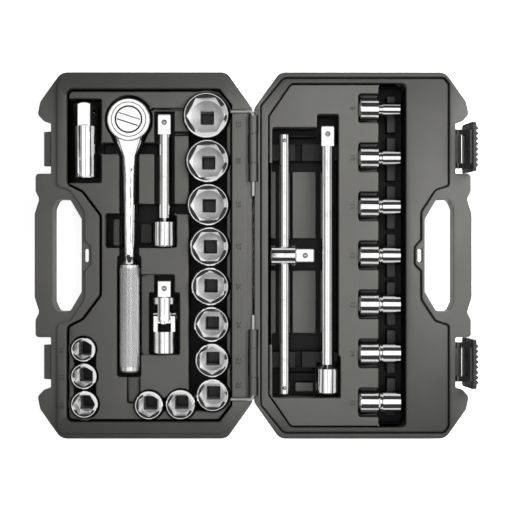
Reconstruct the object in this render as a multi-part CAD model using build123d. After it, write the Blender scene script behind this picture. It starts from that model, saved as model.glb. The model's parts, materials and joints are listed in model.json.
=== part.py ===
# Half-inch drive socket set in a hinged moulded case, lying open.
# Millimetres, +Z up, hinge along Y through x = 0; the base is at -X and the lid at +X.
import math
import os

from build123d import *

# Case
rim_height = 44.0          # ground to the plane where the halves meet
rim_gap = 0.4              # between the two rims when the case is shut
half_reach = 204.0         # hinge axis to the outer edge of the handle
half_length = 171.0        # centre line to the end of the case
hinge_gap = 1.6            # between the halves, at the hinge
wall_draft = 3.0           # degrees, outer walls
foot_round = 4.0           # edge round where the walls meet the back
back_margin = 24.0         # edge of the back to its sunk panel
back_sink = 1.2
corner_cut = 27.5          # length of the slanted corners along Y
hinge_corner = 19.5        # the same corners along X, at the hinge end
handle_corner = 24.6       # and at the handle end
hinge_step = (4.5, 7.0)    # the outline steps back beside the hinge, along X and Y
end_set = 5.2              # set-back of the outer edge beyond the latches
bulge_set = 2.8
bulge_drop = 12.0
side_set = 0.8             # set-back between the latches and the handle
side_end = 60.0
outline_rounds = (5, 6, 10, 12, 9, 4.5, 4, 1, 1, 3.5, 4, 6, 9)
rim_band = 6.0             # flat rim outside the lip
lip_height = 1.5           # raised lip of the base, which fits the lid
lip_play = 0.5
lip_end = 5.0              # lip to the end of the case
lip_hole = 3.0             # lip to the hand hole
lip_corner = (21.5, 4.0)
lip_tip = (5.0, 6.0)       # its cut corner beside a latch
lip_shoulder = 64.5
lip_slope = (13.0, 60.5)
lip_hole_half = 40.5
vent_bay = (6.0, 14.5, 8.0)
lip_rounds = (4, 8, 4, 4, 4, 6, 8, 3, 3)
tray_drop = 5.0            # rim to the tray floor
base_tray_near = 19.7      # hinge axis to the tray
base_tray_end = 15.4       # tray to the end of the case
base_tray_far = 29.3       # tray to the outer edge, beside a latch
base_tray_inner = 59.9     # and beside the hand hole
base_tray_corner = (11.8, 15.2)
base_tray_shoulder = 66.0
base_tray_slope = (16.5, 59.0)
base_tray_half = 37.0
lid_tray_near = 13.8
lid_tray_far = 143.0
lid_tray_end = 9.8
lid_tray_corner = (21.0, 30.4)
base_groove = (1.9, 4.5)   # width and depth of the groove round the base's tray
lid_groove = (1.3, 3.0)
recess_groove = (1.4, 2.6) # along the edge of the lid's recess

# Handle and hand hole
hole_inner = 43.9          # from the outer edge to the hole's inner side
hole_outer = 17.0
hole_half = 52.5
hole_straight = 34.0       # half length of the inner side
hole_end = 11.0            # width of the flat ends of the hole
hole_slope = 5.0
hole_shoulder = (4.0, 9.0)
hole_rounds = (5, 5, 4, 7)
under_margin = 1.5         # hollow under the handle, past the hole's inner side
under_half = 56.0
handle_waist = 4.4
waist_at = 52.8
handle_straight = 39.0
handle_depth = 20.0        # thickness of the bar
vent_at = 48.5             # small slot beside the hole, from the outer edge
vent_size = (4.0, 12.6)
vent_web = 7.0             # thickness round it
vent_hollow = (4.6, 9.5)   # half width and half length of the hollow under it

# Hinge
pin_dia = 3.2
pin_play = 0.06
knuckle_dia = 9.0
knuckle_play = 0.4
knuckle_ends = (69.0, 86.0, 113.0, 130.0)   # base, lid, base, along Y
pin_tip = 55.4             # free end of the wire
pin_leg_at = 134.0         # bent leg that lies on the base
pin_leg = 21.0
pin_bend = 4.0
leg_play = 0.1
web_reach = 6.0            # knuckle's root, from the hinge axis

# Latches
latch_at = 100.0           # centre along Y
notch_half = 23.6          # half length of the notch in the rim
notch_depth = 15.2         # from the outer edge
notch_lip = 9.0            # set-back of the edge that leads into the notch
notch_slant = 1.4
latch_play = 0.6
latch_pivot_in = 11.6      # pivot, from the outer edge of the case
latch_pivot_drop = 9.0     # pivot below the parting plane
latch_pin_dia = 2.5
latch_lug_half = 13.0
latch_lug_round = 3.6
latch_cheek = 5.0
latch_wall = 3.0
latch_rise = 17.0          # top of the open latch above the parting plane
latch_open = 10.0          # degrees that it leans out in the photographed pose
hook_drop = 11.0           # hooked face below the parting plane when shut
hook_depth = 3.2
hook_reach = 2.4           # how far the hook goes under the catch
hook_half = 15.5
catch_half = 16.0
catch_thick = 8.0
latch_ribs = 8
latch_rib_pitch = 4.8
latch_rib_round = 1.7
latch_rib_length = 7.0
latch_rib_drop = 4.0
latch_stand = 5.1          # plate, from the pivot
latch_foot = 2.0           # plate below the pivot
hook_play = 0.6
catch_reach = 4.3          # catch's lip, from the pivot line
catch_flat = 5.0
catch_root = 3.0

# Tools: half-inch square drive
drive = 12.7
drive_play = 0.15          # each side, in a square hole
drive_wall = 2.0
drive_depth = 16.5
drive_edge = 1.0           # rounded corners of a drive square
drive_tip = 1.2            # slanted edges at its end
drive_tip_slant = 30.0
ball_dia = 5.0
ball_proud = 1.0
ball_play = 0.05
ball_travel = 1.2
seat_gap = 0.3             # between a tool and the pocket that carries it
pocket_room = 1.4          # beside an upright socket
top_clear = 0.8            # tallest socket below the parting plane
lying_drop = 13.0          # axis of every lying tool below the parting plane

# Sockets, by size across flats
column_sizes = (32, 30, 29, 27, 26, 24, 23, 22)
row_sizes = (20, 19)
stack_sizes = (16, 17, 18)
lid_sizes = (8, 10, 11, 12, 13, 14, 15)
hex_turn = {32: 2.5, 30: 2.5, 29: 2.5, 26: 30, 24: -2.5, 23: 30, 19: 30, 17: 30, 16: 27.5}   # degrees
socket_edge = 0.8          # slanted outer edges
rim_ring = 0.4             # flat ring at the mouth
mouth_slope = 30.0         # degrees, lead-in to the hexagon
column_edge = 22.9         # hinge axis to the near edge of the long column
column_start = 152.2       # far edge of its first socket
column_gap = 1.95
row_gap = 2.65
row_edge = 153.6           # outer edge of the short row, along Y
row_start = 54.3           # hinge axis to the near edge of the short row
stack_margin = 4.0         # tray wall to the stack of three
stack_end = 152.2
stack_gap = 1.7
lid_socket_x = 100.4
lid_socket_pitch = 46.0
lid_socket_length = 38.5

# Ratchet
ratchet_x = -116.8
head_y = 127.7
head_dia = 40.8
head_thick = 17.0
head_wall = 3.0            # below the gear
gear_dia = 24.0
gear_teeth = 36
gear_tooth = 1.1
gear_thick = 7.0
hub_wall = 1.84            # hub round the square's corners, both sides together
gear_room = 0.4            # round the gear, in the head
stem_floor = 2.0           # gear's underside to its stem hole
cover_dia = 32.8
cover_thick = 2.6
cover_edge = 0.7           # slanted edges of the cover and the dial
dial_dia = 24.4
dial_play = 0.08
dial_proud = 1.6
dial_bar = (22.0, 5.1, 1.4)
dial_edge = 0.6
dial_groove = 0.9          # depth of the grooves beside the bar
dial_stem_dia = 8.0
dial_stem_play = 0.2
dial_angle = -18.0
pawl_reach = 6.4           # gear's rim to the pawl pin
pawl_pin_dia = 4.0
pawl_half = 8.2
pawl_thick = 5.0
pawl_room = 0.9            # round it, in the head
pawl_rise = 1.7            # above the floor of the gear chamber
pawl_swing = 12.0          # degrees between its two working positions
swing_steps = 16           # places of that swing at which its toes are cut clear of the gear
toe_angle = 19.0           # toes, either side of the pin as seen from the gear
neck_from = -13.0          # from the gear axis, along the handle
neck_to = -35.0
neck_root = (31.0, 14.6)   # width and thickness
shank_root = (13.8, 9.4)
shank_tip = (10.0, 8.4)
grip_dia = 18.6
grip_top = -7.8
grip_length = 102.0
grip_flare = 11.0

# Extension bars
short_bar = (-83.6, 132.4, 124.0)      # x, tip of the square along Y, length
long_bar = (70.0, 121.4, 251.0)
bar_shaft_dia = 12.6
bar_female = 27.0
bar_taper = 4.0
bar_square = 14.5

# Sliding T-bar
t_rod_x = 29.4
t_rod_y = -8.2             # middle of the rod; the head stands off it
t_rod_dia = 10.0
t_rod_length = 246.0
t_head_dia = 19.6
t_head_length = 24.2
t_head_inner = 16.3        # hinge axis to the head's blind end
t_square = 16.6
stop_ball_dia = 3.6
stop_ball_in = 6.5
stop_ball_proud = 0.5

# Universal joint
joint_x = -83.6
joint_tip = -23.3
joint_square = 15.4
joint_pivot = 35.3         # square tip to the pivot
joint_length = 69.1
joint_dia = 23.0
joint_slot = 12.6          # gap between the ears of a yoke
joint_slot_depth = 13.0
joint_ear = 11.2           # width of an ear
trunnion_dia = 6.0
cross_play = 0.3

# Spark plug socket
spark_x = -158.2
spark_top = 143.2
spark_length = 70.3
spark_dia = 23.7
spark_hex = 21.0
spark_hex_length = 20.0
plug_flats = 16.0
plug_hex_depth = 18.0
plug_bore = 17.6
plug_bore_depth = 46.0
spark_hole_dia = 5.2       # hole for the detent ball
spark_hole_turn = 30.0     # degrees from level
rubber_wall = 2.4
rubber_length = 12.0

# Pockets: room beside a tool, and slots and wells as left, right, lower and upper edges
# from a point of the tool that they serve
head_room = 2.4
pit_room = 2.5             # round the ratchet's square
pit_floor = 0.5            # below it
throat_room = 2.7
grip_room = 2.3
grip_ends = (8.0, 4.5)
bar_room = 3.4
bar_tip_room = 3.5
female_room = 0.9
female_lead = 3.0
end_room = 1.0
joint_room = 3.2
joint_square_room = 3.5
joint_tip_room = 5.5
joint_square_lead = 4.0
joint_square_drop = 4.0
joint_step_drop = 2.4
spark_room = 4.0
spark_ends = (4.0, 5.0)
finger_drop = 23.8         # tray to the floor of the finger slots
channel_room = (1.7, 0.9)  # the sockets' channels are that much narrower than their wells
neck_slot = (-26.0, 25.2, -32.7, -21.8)        # from the gear axis
bar_slot = (-26.4, 24.6, -93.7, -84.0)         # from the tip of the short bar
tip_groove = (-12.4, 21.6, 3.2, 6.0)
tip_groove_drop = 4.0
link_groove = (8.6, 23.6, -20.2, -16.1)
link_groove_drop = 6.0
grip_groove = (-2.0, 10.8, -29.2, 1.8)         # from the end of the grip
grip_groove_drop = 2.4
neck_well = (-22.9, 41.3, 14.8, 47.3)          # from the start of the grip
neck_pads = ((-15.5, -7.4, 16.9, 42.1, 6.0), (9.4, 20.6, 19.1, 38.3, 12.0))   # and each pad's drop
t_room = 8.0               # beside the T-bar's rod
t_well_room = 11.7
t_end_room = (5.6, 2.8)    # beyond the rod's ends
t_head_room = (1.3, 6.4)   # beyond the head's blind end and its square
t_head_gap = 0.8           # the head slides over the low blocks
t_head_well = (-14.4, 16.3)
low_blocks = (13.9, -84.0, 87.0)               # near side and ends of the blocks beside the rod
upper_well = 80.0          # inner ends of the wells at the rod's two ends
lower_well = -74.3
well_drop = 9.0            # below the low blocks
saddles = ((89.9, 105.9), (-107.0, -91.5))
saddle_notch = (40.0, 46.0, 8.0)
ridges = ((112.6, 114.0), (-113.8, -112.4))
ridge_near = 36.0
low_pad = (40.0, 57.5, -130.2, -121.4)
long_room = 10.2           # beside the long bar's shaft
long_tip_room = 11.3
long_female_room = 1.0
long_female_lead = 9.4
lid_socket_gap = 2.0       # before a lying socket's drive end
lid_socket_room = (3.0, 1.2)                   # beside it, in the upper and lower step
lid_step_drop = 7.0
channel_at = 16.9          # from a lying socket's drive end to the long channel
channel_end = 10.2         # channel to the end of the lid
channel_play = 0.3
channel_drop = 10.0
rib_strip = (27.3, 36.0)   # ribs in the channel, from the sockets' drive end
rib_ends = 8.0
rib_gap = 4.6
cut_past = 1.0             # how far a cut runs past a face

# Worked out from the sizes above
z_part = rim_height
z_rim = z_part - rim_gap / 2
z_tray = z_rim - tray_drop
z_axis = z_part - lying_drop
drive_hole = drive + 2 * drive_play
drive_od = drive * math.sqrt(2) + 2 * drive_wall
socket_top = z_part - top_clear
z_over = z_part + 10       # top of every cut from above
pivot_x = half_reach - latch_pivot_in
pivot_z = z_part - latch_pivot_drop
gear_hub = drive * math.sqrt(2) + hub_wall
pawl_pivot = gear_dia / 2 + pawl_reach


def nut_od(size):
    return 1.2 * size + 3.6


def socket_od(size):
    return max(nut_od(size), drive_od)


def socket_length(size):
    return 35.5 + 0.14 * size


tallest = max(socket_length(size) for size in column_sizes + row_sizes + stack_sizes)
z_socket = socket_top - tallest
z_socket_floor = z_socket - seat_gap


def rounded(points, radii):
    path = FilletPolyline(*points, radius=radii, close=True)
    return make_face(path)


def block(x0, x1, y0, y1, corner=2.0):
    width = abs(x1 - x0)
    height = abs(y1 - y0)
    centre = Pos((x0 + x1) / 2, (y0 + y1) / 2)
    if corner == 0:
        return centre * Rectangle(width, height)
    return centre * RectangleRounded(width, height, min(corner, 0.49 * min(width, height)))


def around(point, edges, corner=2.0):
    x, y = point
    return block(x + edges[0], x + edges[1], y + edges[2], y + edges[3], corner)


def prism(face, low, high):
    return extrude(Pos(0, 0, low) * face, amount=high - low, dir=(0, 0, 1))


def rod_y(radius, x, y0, y1, z):
    return Pos(x, (y0 + y1) / 2, z) * Rot(90, 0, 0) * Cylinder(radius, abs(y1 - y0))


def turned(points):
    return revolve(make_face(Plane.XZ * Polyline(*points, close=True)), Axis.Z)


def mirrored_pair(points, radii, side):
    upper = [(side * u, v) for u, v in points]
    lower = [(side * u, -v) for u, v in reversed(points)]
    return rounded(upper + lower, list(radii) + list(reversed(radii)))


# Outlines of one half, side = -1 for the base and +1 for the lid
def half_outline(side):
    near = hinge_gap / 2
    step = near + hinge_step[0]
    slant = half_length - corner_cut
    notch = half_reach - notch_depth
    points = [
        (near, slant - hinge_step[1]),
        (step, slant),
        (step + hinge_corner, half_length),
        (half_reach - handle_corner, half_length),
        (half_reach - end_set, slant),
        (half_reach - bulge_set, slant - bulge_drop),
        (half_reach - notch_lip, latch_at + notch_half + notch_slant),
        (notch, latch_at + notch_half),
        (notch, latch_at - notch_half),
        (half_reach - side_set, latch_at - notch_half),
        (half_reach - side_set, side_end),
        (half_reach - handle_waist, waist_at),
        (half_reach, handle_straight),
    ]
    return mirrored_pair(points, outline_rounds, side)


def lip_outline(side, grow=0.0):
    near = hinge_gap / 2 + rim_band - grow
    end = half_length - lip_end + grow
    far = half_reach - notch_depth - rim_band + grow
    inner = half_reach - hole_inner - lip_hole + grow
    points = [
        (near, half_length - corner_cut - lip_corner[1] + grow),
        (near + lip_corner[0], end),
        (far - lip_tip[0], end),
        (far, end - lip_tip[1]),
        (far, lip_shoulder),
        (inner + lip_slope[0], lip_slope[1]),
        (inner, lip_hole_half),
        (inner, vent_bay[1]),
        (inner - vent_bay[0], vent_bay[2]),
    ]
    return mirrored_pair(points, lip_rounds, side)


def hand_hole(side):
    inner = half_reach - hole_inner
    outer = half_reach - hole_outer
    points = [
        (inner, hole_straight),
        (outer - hole_end - hole_slope, hole_half),
        (outer - hole_shoulder[0], hole_half),
        (outer, hole_half - hole_shoulder[1]),
    ]
    face = mirrored_pair(points, hole_rounds, side)
    vent = Pos(side * (half_reach - vent_at), 0) * SlotOverall(vent_size[1], vent_size[0], rotation=90)
    return face + vent


def base_tray():
    end = half_length - base_tray_end
    far = half_reach - base_tray_far
    inner = half_reach - base_tray_inner
    points = [
        (base_tray_near, end - base_tray_corner[1]),
        (base_tray_near + base_tray_corner[0], end),
        (far, end),
        (far, base_tray_shoulder),
        (inner + base_tray_slope[0], base_tray_slope[1]),
        (inner, base_tray_half),
    ]
    return mirrored_pair(points, (3, 4, 6, 6, 6, 6), -1)


def lid_tray():
    end = half_length - lid_tray_end
    points = [
        (lid_tray_near, end - lid_tray_corner[1]),
        (lid_tray_near + lid_tray_corner[0], end),
        (lid_tray_far, end),
    ]
    return mirrored_pair(points, (3, 5, 6), 1)


def edge_groove(outline, size, floor):
    return prism(outline - offset(outline, -size[0]), floor - size[1], z_over)


# Places of the upright sockets: size, x, y
def upright_sockets():
    places = []
    edge = column_start
    for size in column_sizes:
        radius = socket_od(size) / 2
        places.append((size, -column_edge - radius, edge - radius))
        edge -= 2 * radius + column_gap
    near = row_start
    for size in row_sizes:
        radius = socket_od(size) / 2
        places.append((size, -near - radius, -row_edge + radius))
        near += 2 * radius + row_gap
    edge = -stack_end
    for size in reversed(stack_sizes):
        radius = socket_od(size) / 2
        places.append((size, -(half_reach - base_tray_far - stack_margin) + radius, edge + radius))
        edge += 2 * radius + stack_gap
    return places


def lid_sockets():
    middle = (len(lid_sizes) - 1) / 2
    return [(size, (middle - i) * lid_socket_pitch) for i, size in enumerate(lid_sizes)]


# Tools
def square_hole(depth):
    return extrude(RectangleRounded(drive_hole, drive_hole, drive_edge), amount=depth)


def socket_wrench(size, length):
    nut = nut_od(size) / 2
    back = max(drive_od / 2, 0.38 * nut_od(size))
    waist = min(nut, back) - 0.8
    edge = socket_edge
    half = length / 2
    points = [
        (0, 0),
        (back - edge, 0),
        (back, edge),
        (back, half - 2.2),
        (waist, half - 0.6),
        (waist, half + 0.6),
        (nut, half + 2.4),
        (nut, length - edge),
        (nut - edge, length),
        (0, length),
    ]
    body = turned(points)
    hex_depth = 0.42 * length
    corner = size / math.sqrt(3)
    hexagon = extrude(RegularPolygon(corner, 6, rotation=hex_turn.get(size, 0)), amount=hex_depth + 1)
    bore = min(drive, size - 2) / 2
    cone = 0.5 * (size / 2 - bore)
    floor = turned([(0, -cone), (bore, -cone), (size / 2, 0.1), (0, 0.1)])
    lead = nut - edge - rim_ring
    drop = (lead - size / 2) * math.tan(math.radians(mouth_slope))
    mouth = turned([(0, -drop), (size / 2, -drop), (lead, 0), (lead, 0.1), (0, 0.1)])
    body -= Pos(0, 0, length - hex_depth) * (hexagon + floor)
    body -= Pos(0, 0, length) * mouth
    if size > drive + 3:
        body -= square_hole(length - hex_depth)
    else:
        body -= square_hole(drive_depth)
        body -= Cylinder(bore, length, align=(Align.CENTER, Align.CENTER, Align.MIN))
    return body


def drive_square(length):
    stub = extrude(RectangleRounded(drive, drive, drive_edge), amount=length - drive_tip)
    tip = extrude(RectangleRounded(drive, drive, drive_edge), amount=drive_tip, taper=drive_tip_slant)
    return stub + Pos(0, 0, length - drive_tip) * tip


def ball_hole():
    return Cylinder(ball_dia / 2 + ball_play, ball_dia + ball_travel + 0.4,
                    align=(Align.CENTER, Align.CENTER, Align.MAX))


ball_lift = ball_proud - ball_dia / 2


def extension_bar(length):
    shaft = bar_shaft_dia / 2
    outer = drive_od / 2
    neck = length - bar_square
    points = [
        (0, 0),
        (outer - 1, 0),
        (outer, 1),
        (outer, bar_female - bar_taper),
        (shaft, bar_female),
        (shaft, neck - 3),
        (drive / 2 - 0.4, neck + 0.01),
        (0, neck + 0.01),
    ]
    body = turned(points) + Pos(0, 0, neck - 4) * drive_square(bar_square + 4)
    body -= square_hole(drive_depth)
    ball = Pos(0, -drive / 2, length - bar_square / 2) * Rot(90, 0, 0) * ball_hole()
    return body - ball


def lay_along_y(part, x, y, z):
    return Pos(x, y, z) * Rot(-90, 0, 0) * part


def lay_along_x(part, x, y, z):
    return Pos(x, y, z) * Rot(0, 90, 0) * part


def bar_ball(bar):
    x, tip, length = bar
    return Pos(x, tip - bar_square / 2, z_axis + drive / 2 + ball_lift) * Sphere(ball_dia / 2)


def t_bar_head():
    end = t_head_inner + t_head_length
    barrel = turned([
        (0, 0),
        (t_head_dia / 2 - 1, 0),
        (t_head_dia / 2, 1),
        (t_head_dia / 2, t_head_length - 1),
        (t_head_dia / 2 - 1, t_head_length),
        (0, t_head_length),
    ])
    body = barrel + Pos(0, 0, t_head_length - 2) * drive_square(t_square + 2)
    head = lay_along_x(body, t_head_inner, 0, z_axis)
    head -= rod_y(t_rod_dia / 2 + pin_play, t_rod_x, -t_head_dia, t_head_dia, z_axis)
    return head - Pos(end + t_square / 2, 0, z_axis + drive / 2) * ball_hole()


def t_bar_rod():
    half = t_rod_length / 2
    radius = t_rod_dia / 2
    rod = turned([
        (0, -half),
        (radius - 1, -half),
        (radius, 1 - half),
        (radius, half - 1),
        (radius - 1, half),
        (0, half),
    ])
    rod = lay_along_y(rod, t_rod_x, t_rod_y, z_axis)
    seat = prism(Circle(stop_ball_dia / 2 + ball_play), -stop_ball_dia, cut_past)
    for end in (-1, 1):
        rod -= Pos(t_rod_x, t_rod_y + end * (half - stop_ball_in), z_axis + radius) * seat
    return rod


def stop_balls():
    reach = t_rod_length / 2 - stop_ball_in
    z = z_axis + (t_rod_dia - stop_ball_dia) / 2 + stop_ball_proud
    return [Pos(t_rod_x, t_rod_y + end * reach, z) * Sphere(stop_ball_dia / 2) for end in (-1, 1)]


# A yoke along +Z from its pivot at the origin, ears on the local X axis
def yoke(far_end, ears_first):
    radius = joint_dia / 2
    outer = turned([
        (0, -radius),
        (radius, -radius),
        (radius, far_end - 1),
        (radius - 1, far_end),
        (0, far_end),
    ])
    wide = 4 * radius
    slot = Box(joint_slot, wide, 2 * joint_slot_depth)
    body = outer - slot
    ear_round = Rot(0, 90, 0) * Cylinder(joint_ear / 2, wide)
    ear_stem = Pos(0, 0, joint_slot_depth / 2) * Box(wide, joint_ear, joint_slot_depth)
    stock = Pos(0, 0, (joint_slot_depth + far_end) / 2) * Box(wide, wide, far_end - joint_slot_depth)
    body &= ear_round + ear_stem + stock
    body -= Rot(0, 90, 0) * Cylinder(trunnion_dia / 2 + pin_play, wide)
    return Rot(0, 0, 0 if ears_first else 90) * body


def joint_cross():
    size = joint_slot - 2 * cross_play
    reach = joint_dia - 1.2
    core = Box(size, size, joint_ear - 1)
    arms = Rot(0, 90, 0) * Cylinder(trunnion_dia / 2, reach)
    arms += Rot(90, 0, 0) * Cylinder(trunnion_dia / 2, reach)
    return core + arms


joint_pivot_y = joint_tip - joint_pivot
joint_place = Pos(joint_x, joint_pivot_y, z_axis)


def joint_socket_yoke():
    far_end = joint_length - joint_pivot
    body = yoke(far_end, True) - Pos(0, 0, far_end - drive_depth) * square_hole(drive_depth + 1)
    return joint_place * Rot(90, 0, 0) * body


def joint_drive_yoke():
    shoulder = joint_pivot - joint_square
    body = yoke(shoulder, False) + Pos(0, 0, shoulder - 2) * drive_square(joint_square + 2)
    hole = Pos(0, -drive / 2, joint_pivot - joint_square / 2) * Rot(90, 0, 0) * ball_hole()
    return joint_place * Rot(-90, 0, 0) * (body - hole)


def joint_ball():
    y = joint_tip - joint_square / 2
    return Pos(joint_x, y, z_axis + drive / 2 + ball_lift) * Sphere(ball_dia / 2)


def spark_plug_socket():
    radius = spark_dia / 2
    body_end = spark_length - spark_hex_length
    body = turned([
        (0, 0),
        (radius - 1.4, 0),
        (radius - 0.6, 1),
        (radius, body_end - 2),
        (radius - 1.2, body_end),
        (0, body_end),
    ])
    hexagon = extrude(RegularPolygon(spark_hex / math.sqrt(3), 6), amount=spark_length - 4)
    cap = turned([
        (0, 0),
        (radius, 0),
        (radius, spark_length - 1.5),
        (radius - 1.5, spark_length),
        (0, spark_length),
    ])
    body += Pos(0, 0, 4) * hexagon & cap
    body -= extrude(RegularPolygon(plug_flats / math.sqrt(3), 6), amount=plug_hex_depth)
    body -= prism(Circle(plug_bore / 2), plug_hex_depth, plug_bore_depth)
    body -= Pos(0, 0, spark_length - drive_depth) * square_hole(drive_depth + 1)
    pin_hole = Pos(0, 0, spark_length - drive_depth / 2) * Rot(0, 0, -spark_hole_turn) * Rot(0, 90, 0)
    body -= pin_hole * Cylinder(spark_hole_dia / 2, radius + 2, align=(Align.CENTER, Align.CENTER, Align.MIN))
    return lay_along_y(body, spark_x, spark_top - spark_length, z_axis)


def spark_rubber():
    outer = plug_bore / 2 - ball_play
    ring = Cylinder(outer, rubber_length) - Cylinder(outer - rubber_wall, rubber_length)
    middle = (plug_hex_depth + plug_bore_depth) / 2 + 5
    return lay_along_y(Pos(0, 0, middle) * ring, spark_x, spark_top - spark_length, z_axis)


# Ratchet: head with its gear axis upright, handle along -Y
head_low = z_axis - head_thick / 2
head_high = z_axis + head_thick / 2
gear_low = head_low + head_wall
cavity_dia = gear_dia + 2 * gear_room
pawl_low = gear_low + pawl_rise
head_place = Pos(ratchet_x, head_y, 0)


def shank_section(y, size):
    face = RectangleRounded(size[0], size[1], 0.36 * size[1])
    return Plane((0, y, z_axis), x_dir=(1, 0, 0), z_dir=(0, -1, 0)) * face


def ratchet_body():
    radius = head_dia / 2
    head = prism(Circle(radius), head_low, head_high)
    head = fillet(head.edges().filter_by(GeomType.CIRCLE), 1.6)
    shank_end = grip_top - head_y + 2
    neck = loft([shank_section(neck_from, neck_root), shank_section(neck_to, shank_root)])
    shank = loft([shank_section(neck_to, shank_root), shank_section(shank_end, shank_tip)])
    grip = grip_dia / 2
    handle = turned([
        (0, grip_flare),
        (shank_tip[0] / 2 - 1, grip_flare),
        (shank_tip[0] / 2 + 0.6, 4),
        (grip - 1.4, 0),
        (grip, -1.2),
        (grip, 1.5 - grip_length),
        (grip - 1.5, -grip_length),
        (0, -grip_length),
    ])
    handle = lay_along_y(handle, 0, grip_top - head_y, z_axis)
    body = head + neck + shank + handle
    pocket = Pos(0, -pawl_pivot) * Circle(pawl_half + pawl_room)
    pawl_pocket = prism(pocket, pawl_low - seat_gap, pawl_low + pawl_thick + seat_gap)
    cavity = prism(Circle(cavity_dia / 2), gear_low, head_high + 1)
    cover_seat = prism(Circle(cover_dia / 2 + ball_play), head_high - cover_thick, head_high + 1)
    hub_hole = prism(Circle(gear_hub / 2 + pin_play), head_low - 1, gear_low + 1)
    pin_hole = prism(Pos(0, -pawl_pivot) * Circle(pawl_pin_dia / 2 + ball_play), pawl_low - 1.6,
                     pawl_low + pawl_thick + 1.6)
    body -= [pawl_pocket, cavity, cover_seat, hub_hole, pin_hole]
    return head_place * body


def gear_outline(radius, depth, teeth):
    points = []
    for i in range(teeth):
        for share, r in ((0.0, radius - depth), (0.5, radius)):
            angle = 2 * math.pi * (i + share) / teeth
            points.append((r * math.cos(angle), r * math.sin(angle)))
    return make_face(Polyline(*points, close=True))


def ratchet_drive():
    gear = prism(gear_outline(gear_dia / 2, gear_tooth, gear_teeth), gear_low + 0.2, gear_low + gear_thick)
    hub = prism(Circle(gear_hub / 2), head_low, gear_low + 1)
    square = Pos(0, 0, head_low + 1) * Rot(180, 0, 0) * drive_square(drive_depth)
    bore = Circle(dial_stem_dia / 2 + dial_stem_play)
    stem_hole = prism(bore, gear_low + stem_floor, gear_low + gear_thick + cut_past)
    ball = Pos(0, drive / 2, head_low - drive_depth / 2 + 1) * Rot(-90, 0, 0) * ball_hole()
    return head_place * (gear + hub + square - stem_hole - ball)


def ratchet_ball():
    place = Pos(0, drive / 2 + ball_lift, head_low - drive_depth / 2 + 1)
    return head_place * place * Sphere(ball_dia / 2)


def about_pawl_pin(angle):
    return Pos(0, -pawl_pivot) * Rot(0, 0, angle) * Pos(0, pawl_pivot)


# The toe on the +X side is in mesh at rest, the other one after the pawl's swing
def ratchet_pawl():
    disc = Pos(0, -pawl_pivot) * Circle(pawl_half)
    face = disc
    for share in (0, 0.5, 1):
        face -= about_pawl_pin(share * pawl_swing) * Circle(gear_dia / 2 + 0.3)
    teeth = gear_outline(gear_dia / 2 + 0.12, gear_tooth, gear_teeth)
    for toe_side, swing in ((1, 0), (-1, pawl_swing)):
        toe = Rot(0, 0, -90 + toe_side * toe_angle) * Pos(gear_dia / 2 + 0.4, 0) * Rectangle(3.6, 3.6)
        face += about_pawl_pin(swing) * toe & disc
    for step in range(swing_steps + 1):
        face -= about_pawl_pin(step / swing_steps * pawl_swing) * teeth
    face -= Pos(0, -pawl_pivot) * Circle(pawl_pin_dia / 2 + pin_play)
    return head_place * prism(face, pawl_low, pawl_low + pawl_thick)


def pawl_pin():
    return head_place * prism(Pos(0, -pawl_pivot) * Circle(pawl_pin_dia / 2), pawl_low - 1.5,
                              pawl_low + pawl_thick + 1.5)


def ratchet_cover():
    outer = cover_dia / 2
    inner = dial_dia / 2 + dial_play
    low = head_high - cover_thick + 0.05
    high = head_high + 0.3
    ring = turned([
        (inner, low),
        (outer, low),
        (outer, high - cover_edge),
        (outer - cover_edge, high),
        (inner + cover_edge, high),
        (inner, high - cover_edge),
    ])
    return head_place * ring


def ratchet_dial():
    disc_low = head_high - cover_thick + 0.1
    disc_high = head_high + dial_proud - dial_bar[2]
    radius = dial_dia / 2
    disc = turned([
        (0, disc_low),
        (radius, disc_low),
        (radius, disc_high - cover_edge),
        (radius - cover_edge, disc_high),
        (0, disc_high),
    ])
    ridge = Rectangle(dial_bar[0], dial_bar[1]) & Circle(dial_dia / 2 - dial_edge)
    bar = prism(ridge, disc_high - cut_past, disc_high + dial_bar[2])
    trench = Rectangle(dial_bar[0] - 1, dial_bar[1] + 2) - Rectangle(dial_bar[0], dial_bar[1])
    groove = prism(trench, disc_high - dial_groove, disc_high + cut_past)
    stem = prism(Circle(dial_stem_dia / 2), gear_low + stem_floor + 0.5, disc_low + 0.1)
    return head_place * Rot(0, 0, dial_angle) * (disc - groove + bar + stem)


# Case halves
def knuckles(side, spans):
    parts = []
    high = z_part - rim_gap / 2
    low = z_part - knuckle_dia / 2
    for end in (-1, 1):
        for y0, y1 in spans:
            tube = rod_y(knuckle_dia / 2, 0, end * y0, end * y1, z_part)
            web = prism(block(0, side * web_reach, end * y0, end * y1, 0), low, high)
            parts += [tube, web]
    return parts


def hinge_spans():
    a, b, c, d = knuckle_ends
    gap = knuckle_play / 2
    return [(a, b - gap), (c + gap, d)], [(b + gap, c - gap)]


def half_shell(side):
    shell = extrude(Pos(0, 0, z_rim) * half_outline(side), amount=z_rim, dir=(0, 0, -1), taper=wall_draft)
    shell = fillet(shell.faces().sort_by(Axis.Z)[0].edges(), foot_round)
    hole = half_reach - hole_inner
    under_edge = half_reach + 2 * cut_past
    under = block(side * (hole - under_margin), side * under_edge, -under_half, under_half, 6)
    panel = block(side * back_margin, side * (hole - back_margin / 2),
                  back_margin - half_length, half_length - back_margin, 10)
    vent = half_reach - vent_at
    hollow = block(side * (vent - vent_hollow[0]), side * (hole + cut_past), -vent_hollow[1], vent_hollow[1], 2)
    return shell - [
        prism(under, -cut_past, z_part - handle_depth),
        prism(hollow, -cut_past, z_rim - vent_web),
        prism(panel, -cut_past, back_sink),
    ]


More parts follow.
